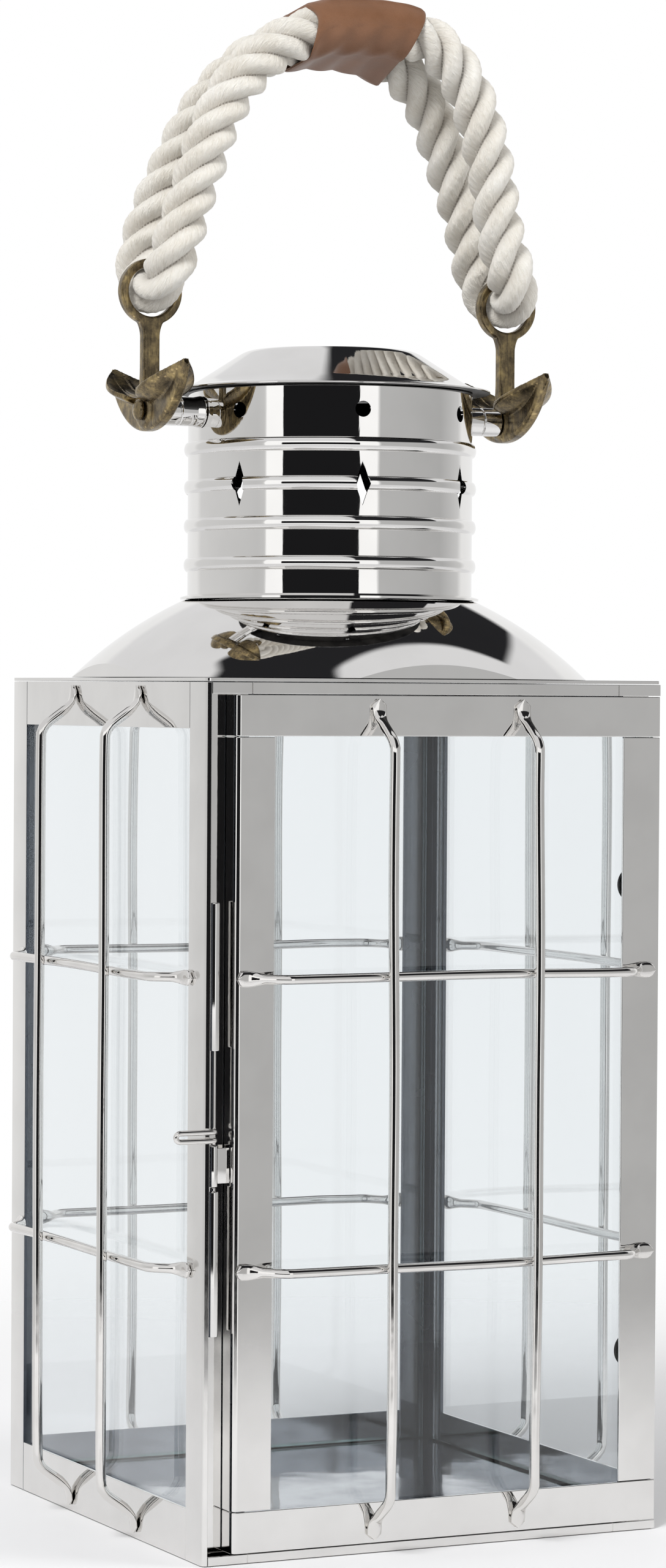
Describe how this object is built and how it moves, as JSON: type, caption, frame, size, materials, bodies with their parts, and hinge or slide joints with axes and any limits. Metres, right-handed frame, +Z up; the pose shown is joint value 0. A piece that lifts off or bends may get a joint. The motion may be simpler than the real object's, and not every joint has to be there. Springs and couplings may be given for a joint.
{
  "type": "hanging lantern",
  "caption": "Square glazed lantern with a hinged front door, wire guards, a domed roof with a vented chimney, and a rope handle that swings on anchor-shaped hangers.",
  "frame": {"origin": "centre of the base, on the plane that the lantern stands on", "axes": "+Z up, -Y out through the door, -X towards the latch side of the door"},
  "size_m": [0.235, 0.235, 0.6192],
  "materials": {
    "nickel": "polished nickel plate",
    "clear_glass": "clear float glass",
    "aged_brass": "antiqued, worn bright on the edges",
    "cotton_rope": "three-strand laid cotton",
    "leather": "smooth tan leather",
    "rubber": "matte black"
  },
  "bodies": {
    "root": {"floor_tray": "nickel", "post_front_left": "nickel", "jamb_left": "nickel", "post_front_right": "nickel", "post_rear_left": "nickel", "post_rear_right": "nickel", "header": "nickel", "sill": "nickel", "rail_top_rear": "nickel", "rail_bottom_rear": "nickel", "glass_rear": "clear_glass", "rail_top_left": "nickel", "rail_bottom_left": "nickel", "glass_left": "clear_glass", "rail_top_right": "nickel", "rail_bottom_right": "nickel", "glass_right": "clear_glass", "roof_plate": "nickel", "dome": "nickel", "chimney": "nickel", "chimney_cap": "nickel", "handle_lug_right": "nickel", "handle_lug_left": "nickel", "pivot_screw_right": "aged_brass", "pivot_screw_left": "aged_brass", "frame_hinge_lower": "nickel", "frame_hinge_upper": "nickel", "latch_barrel_upper": "nickel", "latch_barrel_lower": "nickel", "guard_upright_rear_a": "nickel", "guard_upright_rear_b": "nickel", "guard_level_rear_lower": "nickel", "guard_level_rear_upper": "nickel", "guard_upright_left_a": "nickel", "guard_upright_left_b": "nickel", "guard_level_left_lower": "nickel", "guard_level_left_upper": "nickel", "guard_upright_right_a": "nickel", "guard_upright_right_b": "nickel", "guard_level_right_lower": "nickel", "guard_level_right_upper": "nickel"},
    "door": {"door_rail_bottom": "nickel", "door_rail_top": "nickel", "door_stile_left": "nickel", "door_stile_right": "nickel", "door_glass": "clear_glass", "glass_button_lower": "rubber", "glass_button_upper": "rubber", "guard_upright_front_a": "nickel", "guard_upright_front_b": "nickel", "guard_level_front_lower": "nickel", "guard_level_front_upper": "nickel", "door_hinge_lower": "nickel", "door_hinge_upper": "nickel", "latch_keeper": "nickel"},
    "latch_pin": {"latch_pin": "nickel"},
    "handle": {"anchor_right": "aged_brass", "anchor_left": "aged_brass", "rope": "cotton_rope", "leather_grip": "leather"}
  },
  "joints": [
    {"name": "door_swing", "type": "hinge", "parent": "root", "child": "door", "pos_m": [0.10205, -0.0905, 0.1685], "axis": [0, 0, 1], "range_deg": [0, 105]},
    {"name": "latch_slide", "type": "slide", "parent": "root", "child": "latch_pin", "axis": [0, 0, 1], "range_m": [0, 0.0295]},
    {"name": "handle_swing", "type": "hinge", "parent": "root", "child": "handle", "pos_m": [0, 0, 0.4493], "axis": [1, 0, 0], "range_deg": [-115, 115]}
  ]
}
